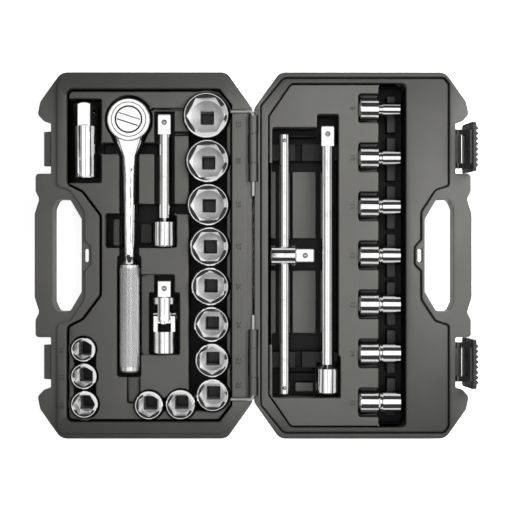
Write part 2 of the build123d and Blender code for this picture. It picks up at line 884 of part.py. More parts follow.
def finish_half(body, side, own_spans, other_spans):
    sweep_radius = knuckle_dia / 2 + knuckle_play
    wire_radius = pin_dia / 2 + knuckle_play
    gap = knuckle_play / 2
    for end in (-1, 1):
        body -= rod_y(wire_radius, 0, end * (pin_tip - cut_past), end * (pin_leg_at + pin_dia), z_part)
        for y0, y1 in other_spans:
            body -= rod_y(sweep_radius, 0, end * (y0 - gap), end * (y1 + gap), z_part)
    for knuckle in knuckles(side, own_spans):
        body += knuckle
    first, last = knuckle_ends[0] - cut_past, knuckle_ends[-1] + cut_past
    for end in (-1, 1):
        body -= rod_y(pin_dia / 2 + pin_play, 0, end * first, end * last, z_part)
    return body


# Groove for the bent leg of a hinge wire
def leg_groove(side, end, play):
    half = pin_dia / 2 + play
    leg = block(0, side * (pin_leg + half), end * pin_leg_at - half, end * pin_leg_at + half, 0)
    bend = block(-side * half, side * (pin_bend + half), end * (knuckle_ends[-1] + leg_play),
                 end * pin_leg_at + end * half, 0)
    return prism(leg + bend, z_part - half, z_over)


def case_base():
    body = half_shell(-1)
    body += prism(lip_outline(-1), z_rim - cut_past, z_rim + lip_height)
    body -= prism(base_tray(), z_tray, z_over)
    body -= edge_groove(base_tray(), base_groove, z_tray)
    body -= prism(hand_hole(-1), -cut_past, z_over)
    body -= base_pockets()
    root = half_reach - notch_depth - 3
    lip = half_reach - latch_pivot_in + catch_reach
    hook = z_part - hook_drop
    profile = make_face(Polyline(
        (-root, hook - catch_root),
        (-root, hook + catch_thick),
        (-root - catch_flat, hook + catch_thick),
        (-lip, hook + catch_root),
        (-lip, hook),
        close=True))
    catch = Rot(90, 0, 0) * extrude(profile, amount=catch_half, both=True)
    for end in (-1, 1):
        body += Pos(0, end * latch_at, 0) * catch
        body -= leg_groove(-1, end, leg_play)
    own, other = hinge_spans()
    return finish_half(body, -1, own, other)


def base_pockets():
    # upright sockets: one well each, joined by channels of lesser width
    places = upright_sockets()
    column = places[:len(column_sizes)]
    row = places[len(column_sizes):-len(stack_sizes)]
    stack = places[-len(stack_sizes):]
    wells = Sketch()
    for size, x, y in places:
        wells += Pos(x, y) * Circle(socket_od(size) / 2 + pocket_room)
    narrow = socket_od(column_sizes[-1]) - channel_room[0]
    wells += block(-column_edge - channel_room[0], -column_edge - channel_room[0] - narrow - 8,
                   column[-1][2], column[0][2], 3)
    half = socket_od(row_sizes[-1]) / 2 - 4 * channel_room[0]
    wells += block(column[-1][1], row[-1][1], row[0][2] - half, row[0][2] + half, 3)
    half = socket_od(stack_sizes[0]) / 2 - channel_room[1]
    wells += block(stack[0][1] - half, stack[0][1] + half, stack[0][2], stack[-1][2], 3)
    cuts = [prism(wells, z_socket_floor, z_over)]

    # ratchet: head, square, neck and grip
    axis = (ratchet_x, head_y)
    head = Pos(*axis) * Circle(head_dia / 2 + head_room)
    pit = Pos(*axis) * Circle(drive / math.sqrt(2) + pit_room)
    cuts.append(prism(head, head_low - seat_gap, z_over))
    cuts.append(prism(pit, head_low - drive_depth - pit_floor, z_over))
    half = shank_root[0] / 2 + throat_room
    wide = neck_root[0] / 2 + throat_room
    corners = [(-wide, neck_from), (-half, neck_to), (half, neck_to), (wide, neck_from)]
    throat = make_face(Polyline(*corners, close=True))
    neck = around((ratchet_x, grip_top), (-half, half, 0, head_y - grip_top)) + Pos(*axis) * throat
    cuts.append(prism(neck, z_axis - neck_root[1] / 2 - seat_gap, z_over))
    half = grip_dia / 2 + grip_room
    grip = around((ratchet_x, grip_top), (-half, half, -grip_length - grip_ends[1], grip_ends[0]), 3)
    cuts.append(prism(grip, z_axis - grip_dia / 2 - seat_gap, z_over))

    # short extension bar
    x, tip, length = short_bar
    half = drive / 2 + bar_room
    shaft = around((x, tip), (-half, half, -length - end_room, bar_tip_room))
    cuts.append(prism(shaft, z_axis - drive / 2 - seat_gap, z_over))
    half = drive_od / 2 + female_room
    female = around((x, tip), (-half, half, -length - end_room, bar_female + female_lead - length))
    cuts.append(prism(female, z_axis - drive_od / 2 - seat_gap, z_over))

    # universal joint, its square end and the shallow step beside the grip
    point = (joint_x, joint_tip)
    half = joint_dia / 2 + joint_room
    body = around(point, (-half, half, -joint_length - end_room, joint_square_lead - joint_square))
    cuts.append(prism(body, z_axis - joint_dia / 2 - seat_gap, z_over))
    swing = math.hypot(joint_dia, joint_ear) / 2
    hollow = around((joint_x, joint_pivot_y), (-half, half, -joint_ear, joint_pivot - joint_square))
    cuts.append(prism(hollow, z_axis - swing - seat_gap, z_over))
    half = drive / 2 + joint_square_room
    square = around(point, (-half, half, -joint_square, joint_tip_room))
    cuts.append(prism(square, z_axis - drive / 2 - joint_square_drop, z_over))
    step = around(point, (ratchet_x - joint_x, 0, -joint_length - end_room, joint_tip_room))
    cuts.append(prism(step, z_tray - joint_step_drop, z_over))

    # spark plug socket
    half = spark_dia / 2 + spark_room
    spark = around((spark_x, spark_top), (-half, half, -spark_length - spark_ends[1], spark_ends[0]))
    cuts.append(prism(spark, z_axis - spark_dia / 2 - seat_gap, z_over))

    # finger slots, grooves between pockets, and the well with two pads under the neck
    deep = z_tray - finger_drop
    cuts.append(prism(around(axis, neck_slot), deep, z_over))
    cuts.append(prism(around((x, tip), bar_slot), deep, z_over))
    cuts.append(prism(around((x, tip), tip_groove, 1), z_tray - tip_groove_drop, z_over))
    cuts.append(prism(around((x, tip), link_groove, 1), z_tray - link_groove_drop, z_over))
    grip_end = (ratchet_x, grip_top - grip_length)
    cuts.append(prism(around(grip_end, grip_groove), z_tray - grip_groove_drop, z_over))
    well = around((ratchet_x, grip_top), neck_well, 3)
    for *edges, drop in neck_pads:
        cuts.append(prism(well, z_tray - drop, z_over))
        well -= around((ratchet_x, grip_top), edges)
    cuts.append(prism(well, deep, z_over))
    return cuts


def case_lid():
    body = half_shell(1)
    recess = lip_outline(1, lip_play)
    recess_floor = z_rim - lip_height - lip_play
    body -= prism(recess, recess_floor, z_over)
    body -= edge_groove(recess, recess_groove, recess_floor)
    body -= prism(lid_tray(), z_tray, z_over)
    body -= edge_groove(lid_tray(), lid_groove, z_tray)
    body -= prism(hand_hole(1), -cut_past, z_over)
    body -= lid_pockets()
    root = half_reach - notch_depth - 2
    stem = block(root, pivot_x, -latch_lug_half, latch_lug_half, 0)
    lug = prism(stem, pivot_z - latch_lug_round, pivot_z + latch_lug_round)
    lug += rod_y(latch_lug_round, pivot_x, -latch_lug_half, latch_lug_half, pivot_z)
    lug -= rod_y(latch_pin_dia / 2, pivot_x, -latch_lug_half - cut_past, latch_lug_half + cut_past, pivot_z)
    for end in (-1, 1):
        body += Pos(0, end * latch_at, 0) * lug
        body -= leg_groove(1, end, knuckle_play)
    own, other = hinge_spans()
    return finish_half(body, 1, other, own)


def lid_pockets():
    block_top = z_axis - t_head_dia / 2 - t_head_gap
    deep = block_top - well_drop
    rod_seat = z_axis - t_rod_dia / 2 - seat_gap
    shaft_seat = z_axis - max(bar_shaft_dia, drive) / 2 - seat_gap
    female_seat = z_axis - drive_od / 2 - seat_gap
    rod_high = t_rod_y + t_rod_length / 2 + t_end_room[0]
    rod_low = t_rod_y - t_rod_length / 2 - t_end_room[1]
    bar_x, bar_tip, bar_length = long_bar
    bar_end = bar_tip - bar_length - end_room
    near = t_rod_x - t_well_room
    left, right = bar_x - long_room, bar_x + long_room
    square_end = t_head_inner + t_head_length + t_square
    female = drive_od / 2 + long_female_room
    female_start = bar_end + bar_female + long_female_lead
    shaft_start = bar_tip - bar_length + bar_female + end_room

    # wells at the rod's ends, along the bar and round the T-bar's head
    rod_trench = block(t_rod_x - t_room, t_rod_x + t_room, rod_low, rod_high, 1)
    bar_trench = block(left, right, bar_end, bar_tip + long_tip_room)
    head_well = block(t_head_inner - t_head_room[0], square_end + t_head_room[1], *t_head_well, 1)
    wells = rod_trench + bar_trench + head_well
    wells += block(near, right, upper_well, rod_high) + block(near, right, rod_low, lower_well)
    wells += block(bar_x - female, bar_x + female, rod_low, female_start)

    # what stands in them: saddles under rod and bar, ridges, a pad and the seat of the female end
    rod_saddles = Sketch()
    bar_saddles = Sketch()
    for y0, y1 in saddles:
        rod_saddles += block(near, left, y0, y1, 0.5)
        bar_saddles += block(left - cut_past, right, max(y0, shaft_start), y1, 0.5)
    ribs = Sketch()
    for y0, y1 in ridges:
        ribs += block(ridge_near, left, y0, y1, 0.3)
    pad = block(*low_pad, 1)
    socket_seat = block(bar_x - female, bar_x + female, bar_end, bar_end + bar_female - bar_taper)
    notch = block(saddle_notch[0], saddle_notch[1], saddles[1][0], saddles[0][1], 0)
    low = block(low_blocks[0], left, low_blocks[1], low_blocks[2])
    standing = rod_saddles + bar_saddles + ribs + pad + socket_seat
    return [
        prism(wells - standing, deep, z_over),
        prism(rod_saddles + ribs, rod_seat, z_over),
        prism(rod_saddles & notch, rod_seat - saddle_notch[2], z_over),
        prism(bar_saddles, shaft_seat, z_over),
        prism(socket_seat, female_seat, z_over),
        prism(pad + low, block_top, z_over),
    ] + lying_socket_pockets()


# A stepped pocket at each drive end, and one long channel with ribs on its floor
def lying_socket_pockets():
    cuts = []
    seat = z_axis - drive_od / 2 - seat_gap
    near = lid_socket_x - lid_socket_gap
    channel = lid_socket_x + channel_at
    upper = drive_od / 2 + lid_socket_room[0]
    lower = drive_od / 2 + lid_socket_room[1]
    for size, y in lid_sockets():
        cuts.append(prism(block(near, channel + 5, y - upper, y + upper, 3), z_tray - lid_step_drop, z_over))
        cuts.append(prism(block(near, channel + 5, y - lower, y + lower), seat, z_over))
    end = half_length - channel_end
    trench = block(channel, lid_tray_far, -end, end, 4)
    strip = block(lid_socket_x + rib_strip[0], lid_socket_x + rib_strip[1], rib_ends - end, end - rib_ends, 1)
    for (size, y), (size_after, y_after) in zip(lid_sockets(), lid_sockets()[1:]):
        middle = (y + y_after) / 2
        strip -= block(channel, lid_tray_far, middle - rib_gap / 2, middle + rib_gap / 2, 0)
    cuts.append(prism(trench, seat - channel_play, z_over))
    cuts.append(prism(trench - strip, seat - channel_play - channel_drop, z_over))
    return cuts


def hinge_pin(end):
    straight = Line((0, pin_tip), (0, pin_leg_at - pin_bend))
    bend = RadiusArc((0, pin_leg_at - pin_bend), (-pin_bend, pin_leg_at), -pin_bend)
    leg = Line((-pin_bend, pin_leg_at), (-pin_leg, pin_leg_at))
    path = Curve() + [straight, bend, leg]
    section = Plane((0, pin_tip, 0), z_dir=(0, 1, 0)) * Circle(pin_dia / 2)
    wire = Pos(0, 0, z_part) * sweep(section, path=path)
    return wire if end > 0 else mirror(wire, about=Plane.XZ)


# A latch stands in its shut pose on the lid, then leans out by its open angle
def latch(end):
    inner = pivot_x + latch_stand
    outer = inner + latch_wall
    half = notch_half - latch_play
    top = z_part + latch_rise
    plate = block(-half, half, pivot_z - latch_foot, top, 3)
    body = extrude(Plane.YZ.offset(inner) * plate, amount=latch_wall)
    hook = block(inner - hook_reach, inner + latch_wall / 2, -hook_half, hook_half, 0)
    hook_low = z_part + hook_drop + hook_play
    body += prism(hook, hook_low, hook_low + hook_depth)
    for i in range(latch_ribs):
        y = (i - (latch_ribs - 1) / 2) * latch_rib_pitch
        body += Pos(outer, y, top - latch_rib_drop) * Cylinder(latch_rib_round, latch_rib_length)
    for cheek in (-1, 1):
        y0 = cheek * (latch_lug_half + knuckle_play)
        y1 = y0 + cheek * latch_cheek
        body += rod_y(latch_lug_round, pivot_x, y0, y1, pivot_z)
        arm = block(pivot_x, inner + latch_wall / 2, y0, y1, 0)
        body += prism(arm, pivot_z - latch_lug_round, pivot_z + latch_lug_round)
    body -= rod_y(latch_pin_dia / 2 + pin_play, pivot_x, -half, half, pivot_z)
    lean = Pos(pivot_x, 0, pivot_z) * Rot(0, latch_open, 0) * Pos(-pivot_x, 0, -pivot_z)
    return Pos(0, end * latch_at, 0) * lean * body


def latch_pins():
    reach = latch_lug_half + knuckle_play + latch_cheek
    return [rod_y(latch_pin_dia / 2, pivot_x, end * latch_at - reach, end * latch_at + reach, pivot_z)
            for end in (-1, 1)]


def save(name, solid):
    if isinstance(solid, list):
        solid = Compound(children=solid)
    export_step(solid, f"parts/{name}.step")


os.makedirs("parts", exist_ok=True)

save("case_base", case_base())
save("case_lid", case_lid())
save("hinge_pin_upper", hinge_pin(1))
save("hinge_pin_lower", hinge_pin(-1))
save("latch_upper", latch(1))
save("latch_lower", latch(-1))
save("latch_pins", latch_pins())

for size, x, y in upright_sockets():
    save(f"socket_{size:02d}", Pos(x, y, z_socket) * socket_wrench(size, socket_length(size)))
for size, y in lid_sockets():
    save(f"socket_{size:02d}", lay_along_x(socket_wrench(size, lid_socket_length), lid_socket_x, y, z_axis))

for name, bar in (("short_extension", short_bar), ("long_extension", long_bar)):
    save(name, lay_along_y(extension_bar(bar[2]), bar[0], bar[1] - bar[2], z_axis))
    save(f"{name}_ball", bar_ball(bar))

save("t_bar_rod", t_bar_rod())
save("t_bar_stop_balls", stop_balls())
save("t_bar_head", t_bar_head())
save("t_bar_ball", Pos(t_head_inner + t_head_length + t_square / 2, 0,
                       z_axis + drive / 2 + ball_lift) * Sphere(ball_dia / 2))

save("joint_socket_yoke", joint_socket_yoke())
save("joint_drive_yoke", joint_drive_yoke())
save("joint_cross", joint_place * Rot(90, 0, 0) * joint_cross())
save("joint_ball", joint_ball())

save("spark_plug_socket", spark_plug_socket())
save("spark_plug_rubber", spark_rubber())

save("ratchet_body", ratchet_body())
save("ratchet_drive", ratchet_drive())
save("ratchet_ball", ratchet_ball())
save("ratchet_pawl", ratchet_pawl())
save("ratchet_pawl_pin", pawl_pin())
save("ratchet_cover", ratchet_cover())
save("ratchet_dial", ratchet_dial())
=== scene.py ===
import json
import math
import bmesh
import bpy
import numpy as np
from mathutils import Matrix, Vector
from mathutils.geometry import delaunay_2d_cdt


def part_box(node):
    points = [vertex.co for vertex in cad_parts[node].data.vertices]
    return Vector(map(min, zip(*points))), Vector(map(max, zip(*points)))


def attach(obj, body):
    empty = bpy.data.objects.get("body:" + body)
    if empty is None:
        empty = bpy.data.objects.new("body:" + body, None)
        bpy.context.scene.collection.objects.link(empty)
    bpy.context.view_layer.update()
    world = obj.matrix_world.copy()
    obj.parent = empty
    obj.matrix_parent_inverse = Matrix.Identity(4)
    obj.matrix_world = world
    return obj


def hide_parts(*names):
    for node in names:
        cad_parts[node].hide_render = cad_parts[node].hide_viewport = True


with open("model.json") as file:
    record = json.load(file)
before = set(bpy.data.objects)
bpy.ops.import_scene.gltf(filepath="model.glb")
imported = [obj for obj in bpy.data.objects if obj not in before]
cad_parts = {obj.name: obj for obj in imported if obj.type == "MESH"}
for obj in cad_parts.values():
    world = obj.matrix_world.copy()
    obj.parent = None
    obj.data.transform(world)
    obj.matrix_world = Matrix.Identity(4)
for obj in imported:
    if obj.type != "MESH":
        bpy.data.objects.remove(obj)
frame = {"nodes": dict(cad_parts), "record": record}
nodes = frame["nodes"]
record = frame["record"]
nodeBody = {name: body for body, members in record["behaviour"]["bodies"].items() for name in members}
nodeSlot = {part["node"]: part["material_slot"] for part in record["subparts"]}
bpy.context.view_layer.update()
print("frame loaded with", len(nodes), "nodes")


class Wire:  # one shader socket, used in sums
    def __init__(self, tree, socket=None):
        self.tree = tree
        self.socket = socket

    def node(self, kind, settings=None, values=None, out=0):
        made = self.tree.nodes.new(kind)
        for key, value in (settings or {}).items():
            setattr(made, key, value)
        for key, value in (values or {}).items():
            if isinstance(value, Wire):
                self.tree.links.new(value.socket, made.inputs[key])
            else:
                made.inputs[key].default_value = value
        return Wire(self.tree, made.outputs[out])

    def maths(self, operation, first, second=0.0):
        return self.node("ShaderNodeMath", {"operation": operation}, {0: first, 1: second})

    def __add__(self, other):
        return self.maths("ADD", self, other)

    def __radd__(self, other):
        return self.maths("ADD", other, self)

    def __sub__(self, other):
        return self.maths("SUBTRACT", self, other)

    def __rsub__(self, other):
        return self.maths("SUBTRACT", other, self)

    def __mul__(self, other):
        return self.maths("MULTIPLY", self, other)

    def __rmul__(self, other):
        return self.maths("MULTIPLY", other, self)

    def between(self, low, high):  # 0 below low, 1 above high
        return self.node("ShaderNodeMapRange", {"interpolation_type": "SMOOTHSTEP"},
                         {"Value": self, "From Min": low, "From Max": high})

    def blend(self, dark, light):  # a colour, by this factor
        return self.node("ShaderNodeMix", {"data_type": "RGBA"},
                         {"Factor": self, 6: dark, 7: light}, out=2)


def startMaterial(name, **fixed):
    material = bpy.data.materials.new(name)
    material.use_nodes = True
    tree = material.node_tree
    shader = tree.nodes["Principled BSDF"]
    for key, value in fixed.items():
        shader.inputs[key.replace("_", " ")].default_value = value
    place = Wire(tree).node("ShaderNodeTexCoord", out="Object")
    return material, shader, place


def feed(wire, shader, key):
    wire.tree.links.new(wire.socket, shader.inputs[key])


def grain(place, scale, detail=3.0, roughness=0.6, stretch=(1, 1, 1)):
    at = place.node("ShaderNodeMapping", values={"Vector": place, "Scale": stretch})
    values = {"Vector": at, "Scale": scale, "Detail": detail, "Roughness": roughness}
    return place.node("ShaderNodeTexNoise", values=values)


def bump(height, strength, distance):
    values = {"Height": height, "Strength": strength, "Distance": distance}
    return height.node("ShaderNodeBump", values=values)


def grey(level, warmth=0.0):
    return (level, level * (1 - warmth * 0.15), level * (1 - warmth), 1.0)


# finishes
plasticLook = {"tone": 0.086, "warmth": 0.08, "vary": 0.14, "pocketShadeTone": 0.003, "edgeHighlightLift": 1.9,
               "roughness": 0.44, "grainScale": 1700.0, "grainDepth": 0.00006, "cloudScale": 14.0,
               "scuffScale": 60.0}


def casePlastic(name, lift):
    look = plasticLook
    material, shader, place = startMaterial(name, Specular_IOR_Level=0.3)
    shade = place.node("ShaderNodeAttribute", {"attribute_name": "pocketShade"}, out="Fac")
    cloud = grain(place, look["cloudScale"])
    fine = grain(place, look["grainScale"], detail=2.0)
    scuff = grain(place, look["scuffScale"], detail=6.0, roughness=0.7, stretch=(1, 4, 1))
    tone = look["tone"] * lift
    spread = cloud.between(0.3, 0.7) * 0.5 + fine * 0.35 + scuff * 0.15
    bare = spread.blend(grey(tone * (1 - look["vary"]), look["warmth"]),
                        grey(tone * (1 + look["vary"]), look["warmth"]))
    # painted shade: the pocketShade attribute blends the plastic toward near-black wherever shadePockets
    # darkens it
    feed(shade.blend(grey(look["pocketShadeTone"]), bare), shader, "Base Color")
    feed(look["roughness"] + fine * 0.14 + scuff.between(0.55, 0.75) * 0.1, shader, "Roughness")
    feed(bump(fine + scuff * 0.2, 0.35, look["grainDepth"]), shader, "Normal")
    return material


chromeLook = {"bright": 0.84, "dull": 0.70, "roughness": 0.045, "smudge": 0.07, "rippleDepth": 0.00002}


def chromePlate(name):
    look = chromeLook
    material, shader, place = startMaterial(name, Metallic=1.0)
    smudge = grain(place, 70.0, detail=5.0).between(0.45, 0.75)
    ripple = grain(place, 260.0, detail=1.0)
    feed(smudge.blend(grey(look["bright"]), grey(look["dull"])), shader, "Base Color")
    feed(look["roughness"] + smudge * look["smudge"], shader, "Roughness")
    feed(bump(ripple, 0.05, look["rippleDepth"]), shader, "Normal")
    return material


latchLook = {"dark": 0.012, "light": 0.026, "roughness": 0.20, "scratchDepth": 0.00004}


def latchGloss():
    look = latchLook
    material, shader, place = startMaterial("latchGloss", Specular_IOR_Level=0.9)
    cloud = grain(place, 40.0)
    scratch = grain(place, 420.0, detail=4.0, stretch=(1, 0.08, 1)).between(0.6, 0.72)
    feed(cloud.blend(grey(look["dark"]), grey(look["light"])), shader, "Base Color")
    feed(look["roughness"] + scratch * 0.22 + cloud * 0.06, shader, "Roughness")
    feed(bump(scratch + cloud * 0.5, 0.1, look["scratchDepth"]), shader, "Normal")
    return material


steelLooks = {"drawnWire": {"tone": 0.62, "roughness": 0.2, "metallic": 1.0, "relief": 0.12, "along": 0.05},
              "ballSteel": {"tone": 0.8, "roughness": 0.08, "metallic": 1.0, "relief": 0.12, "along": 1},
              "satinBroach": {"tone": 0.93, "roughness": 0.14, "metallic": 0.62, "relief": 0.02, "along": 1},
              "gripSatin": {"tone": 0.82, "roughness": 0.13, "metallic": 0.66, "relief": 0.12, "along": 1},
              "grooveShadeSteel": {"tone": 0.03, "roughness": 0.5, "metallic": 1.0, "relief": 0.12, "along": 1}}
lineDepth = 0.00004


def drawnSteel(name):
    look = steelLooks[name]
    material, shader, place = startMaterial(name, Metallic=look["metallic"])
    lines = grain(place, 1500.0, stretch=(1, look["along"], 1))
    cloud = grain(place, 90.0)
    feed(cloud.blend(grey(look["tone"] * 0.85), grey(look["tone"])), shader, "Base Color")
    feed(look["roughness"] + lines * 0.12 + cloud * 0.06, shader, "Roughness")
    feed(bump(lines, look["relief"], lineDepth), shader, "Normal")
    return material


rubberLook = {"dark": 0.010, "light": 0.028, "roughness": 0.62, "grainDepth": 0.00008}


def softRubber():
    look = rubberLook
    material, shader, place = startMaterial("softRubber")
    fine = grain(place, 1200.0)
    feed(fine.blend(grey(look["dark"]), grey(look["light"])), shader, "Base Color")
    feed(look["roughness"] + fine * 0.2, shader, "Roughness")
    feed(bump(fine, 0.3, look["grainDepth"]), shader, "Normal")
    return material


finish = {"case_plastic": casePlastic("casePlastic", 1.0), "latch_plastic": latchGloss(),
          "chrome": chromePlate("chromePlate"), "pin_steel": drawnSteel("drawnWire"),
          "ball_steel": drawnSteel("ballSteel"), "rubber": softRubber()}
# painted highlight: a lighter copy of the case plastic for the rounded rims, standing in for the light they
# catch
edgeHighlightPlastic = casePlastic("casePlasticEdgeHighlight", plasticLook["edgeHighlightLift"])
satinSteel = drawnSteel("satinBroach")
gripSteel = drawnSteel("gripSatin")
# painted shade: a near-black steel for the ratchet's slanted edges and groove floors
grooveShadeSteel = drawnSteel("grooveShadeSteel")
print("finishes made:", len(finish) + 4)


def addPiece(name, mesh, body, slot, *instead):
    piece = bpy.data.objects.new(name, mesh)
    bpy.context.collection.objects.link(piece)
    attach(piece, body)
    if instead:
        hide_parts(*instead)
    return piece


def plainMesh(thing, name):  # what the modifiers give, as a mesh of its own
    graph = bpy.context.evaluated_depsgraph_get()
    made = bpy.data.meshes.new_from_object(thing.evaluated_get(graph))
    made.name = name
    bpy.data.objects.remove(thing)
    return made


def setInputs(modifier, wanted):
    for item in modifier.node_group.interface.items_tree:
        if item.in_out == "INPUT" and item.name in wanted:
            modifier[item.identifier] = wanted[item.name]


def shadeAll(mesh, level):
    shade = mesh.attributes.new("pocketShade", "FLOAT", "POINT")
    for item in shade.data:
        item.value = level


# CAD shapes with smooth curves and rounded rims
softening = {"case_plastic": {"rim": 0.0009, "sharp": 32, "foot": 0.0028, "steps": (0.0310, 0.0380)},
             "latch_plastic": {"rim": 0.0, "sharp": 32}, "chrome": {"rim": 0.0, "sharp": 24},
             "pin_steel": {"rim": 0.0, "sharp": 30}, "ball_steel": {"rim": 0.0, "sharp": 50},
             "rubber": {"rim": 0.0, "sharp": 35}}
rimShape = {"level": 0.9999, "leastDrop": 1.5, "straight": 0.05, "mitre": 2.5, "footBend": 0.6, "sharp": 50}


def flatRegions(work, way):  # joined faces that look straight up or down
    level = rimShape["level"]
    seen = set()
    regions = []
    for face in work.faces:
        if face.index in seen or face.normal.z * way < level:
            continue
        seen.add(face.index)
        region = [face]
        for member in region:
            for edge in member.edges:
                for other in edge.link_faces:
                    if other.index not in seen and other.normal.z * way > level:
                        seen.add(other.index)
                        region.append(other)
        regions.append(region)
    return regions


def regionRings(region, inside):  # the corners round a flat and round its holes, in order
    starts = {}
    corners = []
    for face in region:
        for corner in face.loops:
            if any(other.index not in inside for other in corner.edge.link_faces):
                starts.setdefault(corner.vert.index, []).append(corner)
                corners.append(corner)
    used = set()
    rings = []
    for corner in corners:
        ring = []
        while corner and corner not in used:
            used.add(corner)
            ring.append(corner)
            ahead = starts[corner.link_loop_next.vert.index]
            corner = next((choice for choice in ahead if choice not in used), None)
        if ring:
            rings.append(ring)
    return rings


def edgeKind(corner, inside, way, look):  # a wall drops from a fall and rises from a foot
    here = corner.vert.co.z
    sharp = math.radians(look["sharp"])
    for other in corner.edge.link_faces:
        if other.index in inside or corner.face.normal.angle(other.normal, 0.0) < sharp:
            continue
        heights = [(vert.co.z - here) * way for vert in other.verts]
        if min(heights) < -rimShape["leastDrop"] * look["rim"]:
            return "fall"
        if way > 0 and max(heights) > look["rim"] and look["steps"][0] < here < look["steps"][1]:
            return "foot"
    return "plain"


def insetShift(before, here, ahead, near, far, way):  # moves a corner in from its two edges
    first = Vector(((here.x - before.x) * way, here.y - before.y)).normalized()
    second = Vector(((ahead.x - here.x) * way, ahead.y - here.y)).normalized()
    turn = first.cross(second)
    if abs(turn) < rimShape["straight"]:
        level = near if near == far else 0.0
        return Vector((-second.y * level * way, second.x * level, 0.0))
    shift = (near * second - far * first) / turn
    shift *= min(1.0, rimShape["mitre"] * max(near, far) / max(shift.length, 1e-9))
    return Vector((shift.x * way, shift.y, 0.0))


def rimStrip(work, ring, way, look, lowered):  # a quarter round in two steps with the painted highlight plastic, or a flat strip at a foot that carries painted shade
    rest = 1 - math.sqrt(0.5)
    width = {"fall": look["rim"], "foot": look["foot"], "plain": 0.0}
    dark = work.verts.layers.float["dark"]
    columns = []
    for k, (vert, kind) in enumerate(ring):
        before, kindBefore = ring[k - 1]
        ahead = ring[(k + 1) % len(ring)][0]
        shift = insetShift(before.co, vert.co, ahead.co, width[kindBefore], width[kind], way)
        if shift.length < 1e-6:
            columns.append((vert, vert, vert))
            continue
        drop = way * look["rim"] if "fall" in (kindBefore, kind) else 0.0
        part = rest if drop else rimShape["footBend"]
        bend = work.verts.new(vert.co + shift * part - Vector((0, 0, drop * rest)))
        columns.append((vert, bend, work.verts.new(vert.co + shift)))
        if drop:
            lowered[vert] = drop
        # painted shade: the wall's foot and the strip's bend are marked dark
        if "foot" in (kindBefore, kind):
            vert[dark] = 1.0
            bend[dark] = 1.0
    for k, (vert, kind) in enumerate(ring):
        here, ahead = columns[k], columns[(k + 1) % len(ring)]
        for low in (0, 1):
            corners = list(dict.fromkeys((here[low], ahead[low], ahead[low + 1], here[low + 1])))
            if kind != "plain" and len(corners) > 2:
                # the rounded rim faces take slot 1, the painted highlight plastic
                work.faces.new(corners).material_index = 1 if kind == "fall" else 0
    return [column[2] for column in columns]


def fillFlat(work, rings, way):  # fresh triangles inside the inset rings
    verts = [vert for ring in rings for vert in ring]
    flat = [Vector((vert.co.x * way, vert.co.y)) * 1000 for vert in verts]  # in millimetres
    links = []
    for ring in rings:
        first = len(links)
        links += [(first + k, first + (k + 1) % len(ring)) for k in range(len(ring))]
    filled = delaunay_2d_cdt(flat, links, [], 0, 1e-6)
    places, faces, origins = filled[0], filled[2], filled[3]
    level = verts[0].co.z
    made = []
    for place, origin in zip(places, origins):
        if origin:
            made.append(verts[origin[0]])
        else:
            made.append(work.verts.new((place.x * way / 1000, place.y / 1000, level)))
    middles = np.array(places)[np.array(faces)].mean(axis=1)
    crossed = np.zeros(len(faces), int)
    for a, b in links:
        one, two = flat[a], flat[b]
        if one.y != two.y:
            past = (one.y > middles[:, 1]) != (two.y > middles[:, 1])
            edgeX = one.x + (two.x - one.x) * (middles[:, 1] - one.y) / (two.y - one.y)
            crossed += past & (middles[:, 0] < edgeX)
    for face, times in zip(faces, crossed):
        if times % 2:
            work.faces.new([made[k] for k in face])


def roundRims(work, look):
    work.verts.index_update()
    work.faces.index_update()
    # the dark layer marks painted shade along wall feet
    work.verts.layers.float.new("dark")
    plan = []
    for way in (1, -1):
        for region in flatRegions(work, way):
            inside = {face.index for face in region}
            rings = [[(corner.vert, edgeKind(corner, inside, way, look)) for corner in ring]
                     for ring in regionRings(region, inside)]
            if any(kind != "plain" for ring in rings for vert, kind in ring):
                plan.append((region, rings, way))
    bmesh.ops.delete(work, geom=[face for region, rings, way in plan for face in region], context="FACES")
    lowered = {}
    for region, rings, way in plan:
        fillFlat(work, [rimStrip(work, ring, way, look, lowered) for ring in rings], way)
    for vert, drop in lowered.items():
        vert.co.z -= drop
    work.normal_update()
    print("rims rounded on", len(plan), "flats")


neck = {"x": -0.1168, "z": 0.031, "half": 0.0058, "from": 0.004, "to": 0.088, "fade": 0.010,
        "rise": 0.0011, "cuts": 11, "rings": 26, "gripFrom": -0.0095}


def cutNeck(work, place, way):
    part = [face for face in work.faces if neck["from"] < face.calc_center_median().y < neck["to"]]
    around = {item for face in part for item in (*face.verts, *face.edges)}
    bmesh.ops.bisect_plane(work, geom=[*part, *around], plane_co=place, plane_no=way)


def crownNeck(work):  # the ratchet's neck is a little round on top
    for k in range(1, neck["cuts"]):
        x = neck["x"] + neck["half"] * (2 * k / neck["cuts"] - 1)
        cutNeck(work, (x, 0, 0), (1, 0, 0))
    for k in range(1, neck["rings"]):
        y = neck["from"] + (neck["to"] - neck["from"]) * k / neck["rings"]
        cutNeck(work, (0, y, 0), (0, 1, 0))
    for vert in work.verts:
        inside = 1 - ((vert.co.x - neck["x"]) / neck["half"]) ** 2
        along = min(vert.co.y - neck["from"], neck["to"] - vert.co.y) / neck["fade"]
        if vert.co.z > neck["z"] and inside > 0 and along > 0:
            vert.co.z += neck["rise"] * inside * min(1.0, along)
    work.normal_update()


